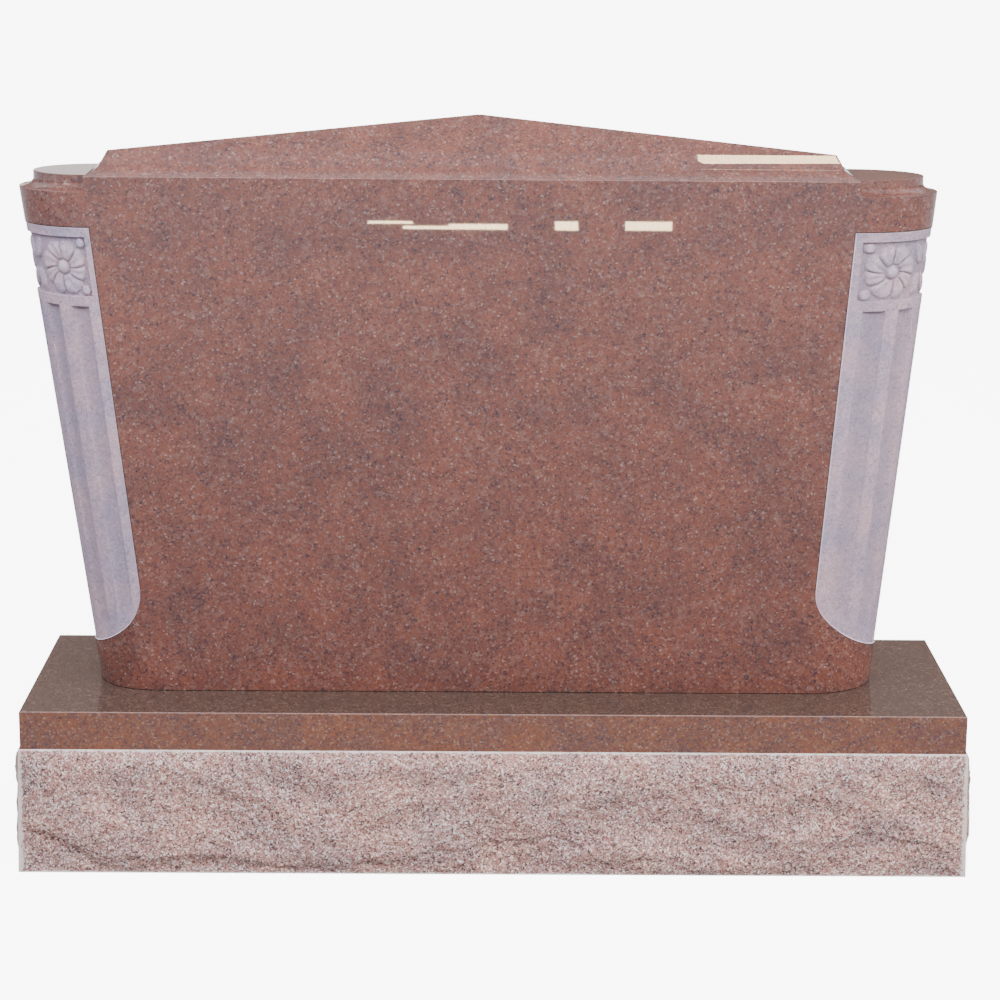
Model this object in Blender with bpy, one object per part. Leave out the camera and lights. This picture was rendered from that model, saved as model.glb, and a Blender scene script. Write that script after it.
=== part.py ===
"""Granite monument: a carved red granite headstone that stands on a rock-pitched granite base.

X runs along the length, Y to the back and Z up, in metres. The origin is the centre of the
base's underside. Heights of the headstone's features are measured from its own foot.
"""
import math

import bmesh
import bpy
import numpy as np

# Base: one block, polished on top and on a margin round the upper edge, rock-pitched below
BASE_LENGTH = 1.219
BASE_DEPTH = 0.356
BASE_HEIGHT = 0.216
MARGIN_HEIGHT = 0.050
ROCK_PROUD = 0.012
PITCH_STEP = 0.002
FOOT_SPREAD = 0.004
ROCK_EDGE = 0.030
ROCK_FACET_LENGTH = 0.029
ROCK_FACET_HEIGHT = 0.021

# Bulge of the pitched sides: height of its fullest line and its fall to the foot, as shares
SWELL_HEIGHT = 0.62
SWELL_FALL = 0.55

# Flake scars of the pitched sides, each range as shares of the spacing or, for the level, of
# the pitched height
SCAR_SPACING = 0.090
SCAR_DEPTH = 0.55
SCAR_SHIFT = (0.1, 0.9)
SCAR_LEVEL = (0.1, 0.75)
SCAR_WIDE = (0.7, 1.5)
SCAR_TALL = (0.30, 0.55)
SCAR_LEAN = (-0.5, 0.5)
FRONT_SEED = 11
BACK_SEED = 12
RIGHT_SEED = 13
LEFT_SEED = 14

# Headstone: outline of the block. Its foot is set left of the base's middle, its outline leans
# left as it rises, and its flat face lies left of the outline's middle
SETTING_GAP = 0.0003
SET_LEFT = 0.010
LEAN_LEFT = 0.0135
FACE_LEFT = 0.0085
THICKNESS = 0.165
FOOT_LENGTH = 1.032
LEDGE_LENGTH = 1.185
FACE_FOOT_LENGTH = 0.856
FACE_TOP_LENGTH = 0.985
LEDGE_HEIGHT = 0.656
FACE_HEIGHT = 0.6755

# Shoulders: a tier set back behind the half-round end, with a cove at its foot
TIER_SETBACK = 0.0185
TIER_COVE_RISE = 0.010
NOTCH_ROUND = 0.008

# Gable: cove, leaning band and a hipped top that falls to the back
GABLE_COVE_RUN = 0.0205
GABLE_COVE_RISE = 0.0145
BAND_RUN = 0.009
BAND_RISE = 0.016
APEX_RISE = 0.0435
TOP_FALL = 0.0125

# Carved columns on the half-round ends
COLUMN_RECESS = 0.001
COLUMN_TOP = 0.6105
COLUMN_ARC_SIDE = 0.139
COLUMN_ARC_LOW = 0.052
PANEL_TOP = 0.5985
PANEL_BOTTOM = 0.525
PANEL_DEPTH = 0.004
PANEL_MARGIN = 0.008
CARVED_EDGE = 0.0012

# Flutes, spread evenly round each end
FLUTES = 6
FIRST_FLUTE = 0.029
FLUTE_TOP = 0.5105
FLUTE_DEPTH = 0.004
FLUTE_WIDTH = 0.024
FLUTE_RUNOUT = 0.030
FLUTE_FOOT_DEPTH = 0.002

# Rosettes and leaves in the panels
ROSETTE_RADIUS = 0.033
ROSETTE_HEIGHT = 0.0045
BOSS_RADIUS = 0.0085
PETALS = 8
PETAL_NOTCH = 0.12
ROSETTE_FROM_EDGE = 0.0425
CURL_RADIUS = 0.0065
LEAF_LENGTH = 0.030
LEAF_WIDTH = 0.014
LEAF_HEIGHT = 0.0035
LEAF_FROM_ROSETTE = 0.044
LEAF_SPACING = 0.021
LEAF_UP = 0.0195
LEAF_TILT = 25.0
CURL_GAP = 0.0006
ORNAMENT_SINK = 0.0006

# Fineness of the faceting
COVE_STEPS = 4
PETAL_STEPS = 4
LEAF_STEPS = 10
SHAFT_ROWS = (0.0, 0.06, 0.14, 0.3, 0.65, 1.0)
FLUTE_LINES = (-1.0, -0.6, 0.0, 0.6, 1.0)
SHARP_ANGLE = 28.0
MERGE_DISTANCE = 1e-6

# Rings of the ornaments from the rim inwards. Petals: share of the rosette's radius, share of
# its height and depth of the grooves. Boss and leaves: share of their radius and of the height
PETAL_RINGS = ((1.0, 0.55, 0.3), (0.8, 0.95, 0.7), (0.45, 0.7, 0.8))
BOSS_RINGS = ((1.15, 0.45), (1.0, 0.9), (0.55, 1.1))
LEAF_RINGS = ((1.0, 0.25), (0.6, 0.85))

POLISHED_RED = (0.262, 0.115, 0.098)
ROCK_PINK = (0.380, 0.285, 0.262)
POLISHED_ROUGHNESS = 0.12
ROCK_ROUGHNESS = 0.9


def stone_material(name, colour, roughness):
    """A plain stone finish."""
    material = bpy.data.materials.new(name)
    material.use_nodes = True
    shader = material.node_tree.nodes["Principled BSDF"]
    shader.inputs["Base Color"].default_value = (*colour, 1.0)
    shader.inputs["Roughness"].default_value = roughness
    shader.inputs["Metallic"].default_value = 0.0
    return material


def add_solid(name, shell, material):
    """Turn a bmesh into a named object, shaded smooth except over sharp arrises."""
    mesh = bpy.data.meshes.new(name)
    shell.to_mesh(mesh)
    shell.free()
    mesh.shade_smooth()
    mesh.set_sharp_from_angle(angle=math.radians(SHARP_ANGLE))
    mesh.materials.append(material)
    solid = bpy.data.objects.new(name, mesh)
    bpy.context.scene.collection.objects.link(solid)
    return solid


def merge_and_close(shell):
    """Merge points that fall together and drop the faces that this leaves without area."""
    bmesh.ops.remove_doubles(shell, verts=shell.verts, dist=MERGE_DISTANCE)
    bmesh.ops.dissolve_degenerate(shell, edges=shell.edges, dist=MERGE_DISTANCE)
    bmesh.ops.recalc_face_normals(shell, faces=shell.faces)


def smooth_step(low, high, value):
    """0 below low, 1 above high and an S curve between them."""
    share = np.clip((value - low) / (high - low), 0.0, 1.0)
    return share * share * (3.0 - 2.0 * share)


# Base


def rock_scars(length, seed):
    """Places and sizes of the flake scars on one side, by a seeded draw."""
    draw = np.random.default_rng(seed)
    count = max(2, round(length / SCAR_SPACING))
    along = (np.arange(count) + draw.uniform(*SCAR_SHIFT, count)) / count * length - length / 2
    height = draw.uniform(*SCAR_LEVEL, count) * (BASE_HEIGHT - MARGIN_HEIGHT)
    wide = draw.uniform(*SCAR_WIDE, count) * SCAR_SPACING
    tall = draw.uniform(*SCAR_TALL, count) * SCAR_SPACING
    lean = draw.uniform(*SCAR_LEAN, count)
    return zip(along, height, wide, tall, lean)


def rock_relief(along, height, length, seed):
    """How far the pitched face bulges past its edges, as a share of its fullest bulge.

    It rises quickly from the straight pitched edges round the face, is fullest a little above
    the middle, and is hollowed by shallow oval flake scars with a crisp rim.
    """
    pitched = BASE_HEIGHT - MARGIN_HEIGHT
    edge = np.minimum(length / 2 - np.abs(along), np.minimum(height, pitched - height))
    rise = 1.0 - (1.0 - np.clip(edge / ROCK_EDGE, 0.0, 1.0))**2
    swell = 1.0 - SWELL_FALL * ((height / pitched - SWELL_HEIGHT) / SWELL_HEIGHT)**2
    hollow = np.zeros(np.broadcast(along, height).shape)
    for scar_along, scar_height, wide, tall, lean in rock_scars(length, seed):
        across = along - scar_along
        up = height - scar_height - lean * across
        bowl = 1.0 - (across / wide)**2 - (up / tall)**2
        hollow = np.maximum(hollow, np.clip(bowl, 0.0, 1.0))
    return rise * (swell - SCAR_DEPTH * hollow)


def rock_offsets(length, heights, seed):
    """Outward offsets of one pitched side, rows by height, reaching ROCK_PROUD at most."""
    count = max(3, round(length / ROCK_FACET_LENGTH))
    along = np.linspace(-length / 2, length / 2, count + 1)[None, :]
    level = heights[:, None]
    relief = np.maximum(rock_relief(along, level, length, seed), MERGE_DISTANCE)
    spread = PITCH_STEP + FOOT_SPREAD * (1.0 - level / (BASE_HEIGHT - MARGIN_HEIGHT))
    reach = ((ROCK_PROUD - spread) / relief).min()
    return along[0], spread + reach * relief


def base_rings():
    """Rings of the base from its underside to its polished top, each anticlockwise."""
    pitched = BASE_HEIGHT - MARGIN_HEIGHT
    row_count = max(3, round(pitched / ROCK_FACET_HEIGHT))
    heights = np.linspace(0.0, pitched, row_count + 1)
    long_x, front = rock_offsets(BASE_LENGTH, heights, FRONT_SEED)
    long_x, back = rock_offsets(BASE_LENGTH, heights, BACK_SEED)
    side_y, right = rock_offsets(BASE_DEPTH, heights, RIGHT_SEED)
    side_y, left = rock_offsets(BASE_DEPTH, heights, LEFT_SEED)

    def ring(z, front_out, right_out, back_out, left_out):
        """Points of one ring; the four corner points carry the offsets of both their sides."""
        front_xy = np.column_stack([long_x, -BASE_DEPTH / 2 - front_out])
        back_xy = np.column_stack([long_x, BASE_DEPTH / 2 + back_out])
        right_xy = np.column_stack([BASE_LENGTH / 2 + right_out, side_y])
        left_xy = np.column_stack([-BASE_LENGTH / 2 - left_out, side_y])
        front_xy[[0, -1], 0] += (-left_out[0], right_out[0])
        back_xy[[0, -1], 0] += (-left_out[-1], right_out[-1])
        loop = np.vstack([front_xy, right_xy[1:-1], back_xy[::-1], left_xy[-2:0:-1]])
        return [(x, y, z) for x, y in loop]

    rings = [ring(*level) for level in zip(heights, front, right, back, left)]
    plain = (np.zeros(len(long_x)), np.zeros(len(side_y))) * 2
    rings.append(ring(pitched, *plain))
    rings.append(ring(BASE_HEIGHT, *plain))
    return rings


def close_rings(rings):
    """Skin a stack of closed rings and cap both ends with a flat face."""
    shell = bmesh.new()
    rows = [[shell.verts.new(point) for point in ring] for ring in rings]
    count = len(rows[0])
    for low, high in zip(rows[:-1], rows[1:]):
        for i in range(count):
            j = (i + 1) % count
            shell.faces.new((low[i], low[j], high[j], high[i]))
    shell.faces.new(list(reversed(rows[0])))
    shell.faces.new(rows[-1])
    merge_and_close(shell)
    return shell


def make_base(material):
    """The base as one block, resting on its flat underside."""
    return add_solid("base", close_rings(base_rings()), material)


# Headstone, measured from its own foot


def face_half(z):
    """Half the length of the flat polished face at a height."""
    share = z / FACE_HEIGHT
    return (FACE_FOOT_LENGTH + (FACE_TOP_LENGTH - FACE_FOOT_LENGTH) * share) / 2


def end_reach(side, z):
    """How far the right (1) or left (-1) end reaches past the flat face; 0 gives their mean."""
    level = min(z, LEDGE_HEIGHT)
    share = level / LEDGE_HEIGHT
    half_length = (FOOT_LENGTH + (LEDGE_LENGTH - FOOT_LENGTH) * share) / 2
    return half_length - face_half(level) + side * FACE_LEFT


def end_point(side, angle, z, inset=0.0):
    """Point of a half-round end; the angle runs from 0 at the front face to 180 at the back."""
    turn = math.radians(angle)
    reach = end_reach(side, z)
    level = min(z, LEDGE_HEIGHT)
    normal_x = math.sin(turn) / reach
    normal_y = -math.cos(turn) / (THICKNESS / 2)
    length = math.hypot(normal_x, normal_y)
    from_middle = side * (face_half(level) + reach * math.sin(turn) - inset * normal_x / length)
    x = from_middle - FACE_LEFT - LEAN_LEFT * level / LEDGE_HEIGHT
    y = -THICKNESS / 2 * math.cos(turn) - inset * normal_y / length
    return (x, y, z)


def arc_height(angle):
    """Lower edge of the carved column: half an ellipse round the end."""
    across = 1.0 - angle / 90.0
    return COLUMN_ARC_SIDE - (COLUMN_ARC_SIDE - COLUMN_ARC_LOW) * math.sqrt(max(0.0, 1 - across**2))


def degrees_round(length):
    """Angle round the half-round end that a length along its surface takes."""
    mean_radius = (end_reach(0, PANEL_BOTTOM) + THICKNESS / 2) / 2
    return math.degrees(length / mean_radius)


def flute_centres():
    """Angles of the flutes' centre lines, evenly round the end."""
    first = degrees_round(FIRST_FLUTE)
    pitch = (180.0 - 2 * first) / (FLUTES - 1)
    return [first + i * pitch for i in range(FLUTES)]


def flute_hollow(angle, z):
    """Depth of the flutes: rounded across, square at the top and running out at the foot."""
    half_width = degrees_round(FLUTE_WIDTH) / 2
    across = min(abs(angle - centre) for centre in flute_centres()) / half_width
    if across >= 1.0:
        return 0.0
    foot = arc_height(angle) + CARVED_EDGE
    up = (z - foot) / (FLUTE_TOP - foot)
    depth = FLUTE_FOOT_DEPTH + (FLUTE_DEPTH - FLUTE_FOOT_DEPTH) * up
    return depth * math.sqrt(1.0 - across**2) * float(smooth_step(0.0, FLUTE_RUNOUT, z - foot))


def end_angles():
    """Angles round an end at which the faceting has an edge, from front to back."""
    edge = degrees_round(CARVED_EDGE)
    margin = degrees_round(PANEL_MARGIN)
    half_width = degrees_round(FLUTE_WIDTH) / 2
    notch = degrees_round(NOTCH_ROUND)
    angles = {0.0, edge, margin, margin + edge, notch, notch / 2}
    angles |= {180.0 - angle for angle in angles}
    for centre in flute_centres():
        angles |= {centre + share * half_width for share in FLUTE_LINES}
    return sorted(angles)


def carved_rows(angle):
    """Heights and insets of one upright line of the end, from its foot to the ledge."""
    edge = degrees_round(CARVED_EDGE)
    margin = degrees_round(PANEL_MARGIN)
    recess = COLUMN_RECESS if edge <= angle <= 180.0 - edge else 0.0
    floor = PANEL_DEPTH if margin + edge <= angle <= 180.0 - margin - edge else 0.0
    arc = arc_height(angle)
    rows = [(0.0, 0.0), (arc / 2, 0.0), (arc, 0.0)]
    for share in SHAFT_ROWS:
        z = arc + CARVED_EDGE + share * (FLUTE_TOP - arc - 2 * CARVED_EDGE)
        rows.append((z, recess + flute_hollow(angle, z)))
    rows.append((FLUTE_TOP, recess))
    rows.append((PANEL_BOTTOM, recess))
    rows.append((PANEL_BOTTOM + CARVED_EDGE, recess + floor))
    rows.append((PANEL_TOP - CARVED_EDGE, recess + floor))
    rows.append((PANEL_TOP, recess))
    rows.append((COLUMN_TOP - CARVED_EDGE, recess))
    rows.append((COLUMN_TOP, 0.0))
    return rows


def notch_rows(angle):
    """Ledge, cove and tier wall above one upright line; the ledge curves up at its inner end."""
    nearest = min(angle, 180.0 - angle)
    from_end_wall = end_reach(0, LEDGE_HEIGHT) * math.sin(math.radians(nearest))
    fall = max(0.0, NOTCH_ROUND - from_end_wall)
    ledge = LEDGE_HEIGHT + NOTCH_ROUND - math.sqrt(NOTCH_ROUND**2 - fall**2)
    rows = []
    for i in range(COVE_STEPS + 1):
        turn = math.pi / 2 * i / COVE_STEPS
        rows.append((ledge + TIER_COVE_RISE * (1 - math.cos(turn)), TIER_SETBACK * math.sin(turn)))
    rows.append((FACE_HEIGHT, TIER_SETBACK))
    return rows


def face_rows():
    """The same levels where the flat face runs up past the shoulders."""
    return [(z, 0.0) for z, inset in notch_rows(0.0)]


def upright_lines():
    """Every upright line of the block, anticlockwise from the right end's front edge."""
    angles = end_angles()
    lines = []
    for side, turned in ((1, angles), (-1, angles[::-1])):
        lines.append([end_point(side, turned[0], *row) for row in carved_rows(turned[0]) + face_rows()])
        for angle in turned:
            lines.append([end_point(side, angle, *row) for row in carved_rows(angle) + notch_rows(angle)])
        lines.append([end_point(side, turned[-1], *row) for row in carved_rows(turned[-1]) + face_rows()])
    return lines


def gable_rings():
    """Corners of the gable's levels, each anticlockwise from the right end's front corner.

    A cove rises from the flat face, then a band leans back from it. The band is less high at
    the back, so that the top falls that way.
    """
    setbacks = []
    for i in range(1, COVE_STEPS + 1):
        share = i / COVE_STEPS
        z = FACE_HEIGHT + GABLE_COVE_RISE * (share + 1.0 - math.sqrt(1.0 - share**2)) / 2
        setbacks.append((GABLE_COVE_RUN * share, z, GABLE_COVE_RUN * share, z))
    band_foot = FACE_HEIGHT + GABLE_COVE_RISE
    back_share = 1.0 - TOP_FALL / BAND_RISE
    setbacks.append((GABLE_COVE_RUN + BAND_RUN, band_foot + BAND_RISE,
                     GABLE_COVE_RUN + BAND_RUN * back_share, band_foot + BAND_RISE * back_share))
    half_length = face_half(FACE_HEIGHT)
    middle = -LEAN_LEFT - FACE_LEFT
    rings = []
    for front, front_z, back, back_z in setbacks:
        front_half = half_length - front
        back_half = half_length - back
        front_y = front - THICKNESS / 2
        back_y = THICKNESS / 2 - back
        rings.append([(middle + front_half, front_y, front_z), (middle + back_half, back_y, back_z),
                      (middle - back_half, back_y, back_z), (middle - front_half, front_y, front_z)])
    return rings


def make_headstone_block():
    """The block with its flutes, panels, shoulders and gable, still without its ornaments."""
    shell = bmesh.new()
    lines = [[shell.verts.new(point) for point in line] for line in upright_lines()]
    for line, following in zip(lines, lines[1:] + lines[:1]):
        for low in range(len(line) - 1):
            shell.faces.new((line[low], following[low], following[low + 1], line[low + 1]))
    shell.faces.new([line[0] for line in reversed(lines)])

    half = len(lines) // 2
    tops = [line[-1] for line in lines]
    right = tops[:half]
    left = tops[half:]
    shell.faces.new(right[1:-1])
    shell.faces.new(left[1:-1])
    right = [right[0], right[1], right[-2], right[-1]]
    left = [left[0], left[1], left[-2], left[-1]]
    for points in gable_rings():
        ring = [shell.verts.new(point) for point in points]
        shell.faces.new([*right, ring[1], ring[0]])
        shell.faces.new([right[-1], left[0], ring[2], ring[1]])
        shell.faces.new([*left, ring[3], ring[2]])
        shell.faces.new([left[-1], right[0], ring[0], ring[3]])
        right = ring[:2]
        left = ring[2:]
    apex = shell.verts.new((-LEAN_LEFT, 0.0, ring[0].co.z + APEX_RISE))
    for corner, following in zip(ring, ring[1:] + ring[:1]):
        shell.faces.new((corner, following, apex))
    merge_and_close(shell)
    return shell


# Ornaments in the panels, each a closed cushion whose underside lies in the panel's floor


def panel_point(side, centre, across, up, out):
    """Point over the panel's floor, from an angle and height plus lengths along the surface."""
    angle, z = centre
    turn = angle + degrees_round(across)
    return end_point(side, turn, z + up, COLUMN_RECESS + PANEL_DEPTH - out)


def ornament_sink():
    """Depth of the ornaments' undersides, which lie below the chords of the faceted end."""
    angles = end_angles()
    widest = max(after - before for before, after in zip(angles, angles[1:]))
    bow = 1.0 - math.cos(math.radians(widest / 2))
    return ORNAMENT_SINK + bow * max(end_reach(1, PANEL_TOP), THICKNESS / 2)


def add_cushion(shell, side, centre, rings, crown):
    """Closed form from rings of (across, up, out) points, from the rim to a crown point."""
    rows = [[shell.verts.new(panel_point(side, centre, *point)) for point in ring] for ring in rings]
    top = shell.verts.new(panel_point(side, centre, *crown))
    sink = ornament_sink()
    under = [shell.verts.new(panel_point(side, centre, across, up, -sink)) for across, up, out in rings[0]]
    rows.insert(0, under)
    count = len(under)
    for low, high in zip(rows[:-1], rows[1:]):
        for i in range(count):
            j = (i + 1) % count
            shell.faces.new((low[i], low[j], high[j], high[i]))
    for i in range(count):
        shell.faces.new((rows[-1][i], rows[-1][(i + 1) % count], top))
    shell.faces.new(list(reversed(under)))


def rosette_rings():
    """Lobed petals, parted by grooves, round a domed boss."""
    turns = [2 * math.pi * i / (PETALS * PETAL_STEPS) for i in range(PETALS * PETAL_STEPS)]
    rings = []
    for share, lift, groove in PETAL_RINGS:
        ring = []
        for turn in turns:
            dip = 1.0 - abs(math.sin(PETALS / 2 * turn))
            reach = ROSETTE_RADIUS * share * (1.0 - PETAL_NOTCH * dip)
            out = ROSETTE_HEIGHT * lift * (1.0 - groove * dip**2)
            ring.append((reach * math.cos(turn), reach * math.sin(turn), out))
        rings.append(ring)
    for share, lift in BOSS_RINGS:
        reach = BOSS_RADIUS * share
        out = ROSETTE_HEIGHT * lift
        rings.append([(reach * math.cos(turn), reach * math.sin(turn), out) for turn in turns])
    return rings


def leaf_rings(across, up, tilt, length, width):
    """Domed oval leaf, or a round curl where length and width are equal."""
    lean = math.radians(tilt)
    rings = []
    for share, lift in LEAF_RINGS:
        ring = []
        for i in range(LEAF_STEPS):
            turn = 2 * math.pi * i / LEAF_STEPS
            x = share * width / 2 * math.cos(turn)
            y = share * length / 2 * math.sin(turn)
            ring.append((across + x * math.cos(lean) - y * math.sin(lean),
                         up + x * math.sin(lean) + y * math.cos(lean), LEAF_HEIGHT * lift))
        rings.append(ring)
    return rings, (across, up, LEAF_HEIGHT)


def make_ornaments():
    """Rosettes, corner curls, and as many leaves as fit, in one mesh of closed forms."""
    shell = bmesh.new()
    middle = (PANEL_TOP + PANEL_BOTTOM) / 2
    quarter = degrees_round(ROSETTE_FROM_EDGE)
    from_side = CARVED_EDGE + CURL_GAP + CURL_RADIUS
    corner_up = (PANEL_TOP - PANEL_BOTTOM) / 2 - from_side
    leaf_run = (90.0 - quarter) / degrees_round(1.0) - LEAF_FROM_ROSETTE
    leaf_pairs = int(leaf_run / LEAF_SPACING)
    for side in (1, -1):
        for face, towards_end in ((quarter, 1), (180.0 - quarter, -1)):
            centre = (face, middle)
            add_cushion(shell, side, centre, rosette_rings(), (0.0, 0.0, ROSETTE_HEIGHT))
            for half in (1, -1):
                across = -towards_end * (ROSETTE_FROM_EDGE - PANEL_MARGIN - from_side)
                curl = leaf_rings(across, half * corner_up, 0.0, 2 * CURL_RADIUS, 2 * CURL_RADIUS)
                add_cushion(shell, side, centre, *curl)
                for step in range(leaf_pairs):
                    across = towards_end * (LEAF_FROM_ROSETTE + step * LEAF_SPACING)
                    tilt = towards_end * half * (-1)**step * LEAF_TILT
                    leaf = leaf_rings(across, half * LEAF_UP, tilt, LEAF_LENGTH, LEAF_WIDTH)
                    add_cushion(shell, side, centre, *leaf)
        add_cushion(shell, side, (90.0, middle), *leaf_rings(0.0, 0.0, 0.0, LEAF_LENGTH, LEAF_WIDTH))
    bmesh.ops.recalc_face_normals(shell, faces=shell.faces)
    return shell


def make_headstone(material):
    """Raise the ornaments on the block and stand it on the base."""
    stone = add_solid("headstone", make_headstone_block(), material)
    ornaments = add_solid("ornament_forms", make_ornaments(), material)
    place = (-SET_LEFT, 0.0, BASE_HEIGHT + SETTING_GAP)
    stone.location = place
    ornaments.location = place
    ornaments.hide_render = True
    ornaments.display_type = "WIRE"
    union = stone.modifiers.new("Ornaments", "BOOLEAN")
    union.operation = "UNION"
    union.solver = "EXACT"
    union.use_self = True
    union.object = ornaments
    return stone


for leftover in list(bpy.data.objects):
    bpy.data.objects.remove(leftover, do_unlink=True)

polished = stone_material("Polished red granite", POLISHED_RED, POLISHED_ROUGHNESS)
pitched_stone = stone_material("Pitched red granite", ROCK_PINK, ROCK_ROUGHNESS)
make_base(pitched_stone)
make_headstone(polished)
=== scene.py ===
"""Looks of the granite monument: a carved red granite headstone on a rock-pitched base."""
import math

import bmesh
import bpy
import numpy as np
from mathutils import Matrix, Vector


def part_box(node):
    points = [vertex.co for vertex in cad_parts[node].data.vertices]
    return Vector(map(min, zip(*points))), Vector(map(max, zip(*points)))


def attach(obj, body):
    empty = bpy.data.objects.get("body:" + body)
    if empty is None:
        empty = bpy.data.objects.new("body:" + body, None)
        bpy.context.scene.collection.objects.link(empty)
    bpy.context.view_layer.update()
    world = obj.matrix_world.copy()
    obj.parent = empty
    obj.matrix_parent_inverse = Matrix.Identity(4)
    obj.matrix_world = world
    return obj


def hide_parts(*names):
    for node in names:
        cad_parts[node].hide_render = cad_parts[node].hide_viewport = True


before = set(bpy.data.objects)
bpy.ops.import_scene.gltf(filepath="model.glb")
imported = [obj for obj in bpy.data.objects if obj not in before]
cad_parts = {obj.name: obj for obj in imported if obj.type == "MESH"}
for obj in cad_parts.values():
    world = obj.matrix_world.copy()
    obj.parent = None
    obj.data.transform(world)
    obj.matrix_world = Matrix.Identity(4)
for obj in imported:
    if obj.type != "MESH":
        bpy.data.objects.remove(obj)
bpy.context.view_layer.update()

# Camera
# It stands a little above the headstone, 3.5 m in front of it, and looks down at the base.
# Place, tilt, roll and lens were fitted to both stones' outlines in the photograph, with the
# base's depth and the headstone's thickness held at assumed sizes.
CAMERA_PLACE = (-0.0214, -3.6101, 1.3132)
CAMERA_DOWN = 13.345
CAMERA_RIGHT = 0.452
CAMERA_ROLL = 0.464
FOCAL_PIXELS = 2798.0
IMAGE_PIXELS = 1000.0
SENSOR_WIDTH = 36.0

camera_data = bpy.data.cameras.new("camera")
camera_data.sensor_width = SENSOR_WIDTH
camera_data.lens = FOCAL_PIXELS / IMAGE_PIXELS * camera_data.sensor_width
camera = bpy.data.objects.new("camera", camera_data)
camera.location = CAMERA_PLACE
heading = Matrix.Rotation(math.radians(-CAMERA_RIGHT), 3, "Z")
tilt = Matrix.Rotation(math.radians(90.0 - CAMERA_DOWN), 3, "X")
roll = Matrix.Rotation(math.radians(CAMERA_ROLL), 3, "Z")
camera.rotation_euler = (heading @ tilt @ roll).to_euler()
bpy.context.scene.collection.objects.link(camera)
bpy.context.scene.camera = camera


# Base: the block itself
# One block of red granite. Its top and a margin round the upper edge are sawn and polished,
# and below them the sides are pitched off with a chisel, which leaves a bulging rock face.
base_low, base_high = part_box("base")
ROCK_PROUD = 0.012
MARGIN_HEIGHT = 0.050
PITCH_STEP = 0.002
FOOT_SPREAD = 0.004
ROCK_EDGE = 0.030
MARGIN_LIP = 0.0004
ARRIS = 0.0010
SIDE_SEEDS = (11, 13, 12, 14)
LATTICE = 512

base_height = base_high[2] - base_low[2]
base_length = base_high[0] - base_low[0] - 2 * ROCK_PROUD
base_depth = base_high[1] - base_low[1] - 2 * ROCK_PROUD
pitched_height = base_height - MARGIN_HEIGHT


def lattice_noise(x, y, seed):
    """Smooth noise from -1 to 1: random values on whole numbers, eased between neighbours."""
    values = np.random.default_rng(seed).uniform(-1.0, 1.0, (LATTICE, LATTICE))
    column = np.floor(x).astype(int)
    row = np.floor(y).astype(int)
    u = x - column
    v = y - row
    u = u * u * (3.0 - 2.0 * u)
    v = v * v * (3.0 - 2.0 * v)
    this_column = column % LATTICE
    next_column = (column + 1) % LATTICE
    this_row = row % LATTICE
    next_row = (row + 1) % LATTICE
    near = values[this_row, this_column] * (1 - u) + values[this_row, next_column] * u
    far = values[next_row, this_column] * (1 - u) + values[next_row, next_column] * u
    return near * (1 - v) + far * v


def layered_noise(x, y, size, seed, layers=4):
    """Sum of noises, each at half the size and about half the strength of the one before."""
    total = np.zeros(np.broadcast(x, y).shape)
    for layer in range(layers):
        total = total + lattice_noise(x / size * 2**layer, y / size * 2**layer, seed + layer) / 2**layer
    return total


SWELL_HEIGHT = 0.62
SWELL_FALL = 0.55
SCAR_SPACING = 0.090
SCAR_DEPTH = 0.55
SCAR_SHIFT = (0.1, 0.9)
SCAR_LEVEL = (0.1, 0.75)
SCAR_WIDE = (0.7, 1.5)
SCAR_TALL = (0.30, 0.55)
SCAR_LEAN = (-0.5, 0.5)


def rock_relief(along, height, length, seed):
    """Bulge of a pitched side as a share of its fullest.

    It rises from the straight pitched edges, is fullest above the middle, and has oval flake
    scars: each is one minus the squared distance from its centre, and the deepest one counts.
    """
    draw = np.random.default_rng(seed)
    count = max(2, round(length / SCAR_SPACING))
    scar_along = (np.arange(count) + draw.uniform(*SCAR_SHIFT, count)) / count * length - length / 2
    scar_height = draw.uniform(*SCAR_LEVEL, count) * pitched_height
    wide = draw.uniform(*SCAR_WIDE, count) * SCAR_SPACING
    tall = draw.uniform(*SCAR_TALL, count) * SCAR_SPACING
    lean = draw.uniform(*SCAR_LEAN, count)
    edge = np.minimum(length / 2 - np.abs(along), np.minimum(height, pitched_height - height))
    rise = 1.0 - (1.0 - np.clip(edge / ROCK_EDGE, 0.0, 1.0))**2
    swell = 1.0 - SWELL_FALL * ((height / pitched_height - SWELL_HEIGHT) / SWELL_HEIGHT)**2
    across = along[..., None] - scar_along
    up = height[..., None] - scar_height - lean * across
    bowls = np.clip(1.0 - (across / wide)**2 - (up / tall)**2, 0.0, 1.0)
    return rise * (swell - SCAR_DEPTH * bowls.max(axis=-1))


ROCK_GRAIN = 0.0025
RIPPLE = (0.045, 0.0012)
RIPPLE_FLATNESS = 1.6
FLAKE = (0.020, 0.0009)
FLAKE_SLANT = 0.3
CHIP = (0.008, 0.0007)
PIT = (0.0035, 0.0005)
LEDGE_WAVE = 0.16
LEDGE_GAP = 0.11
LEDGE_LEVEL = 0.034
LEDGE_WANDER = 0.022
LEDGE_CONTRAST = 2.0
LEDGE_COVER = 0.8
LEAST_RELIEF = 1e-6
LEDGE_STEP = 0.0021
LEDGE_SOFTNESS = 0.0025
EDGE_HOLD = 0.010
BRUISE_REACH = 0.006


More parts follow.
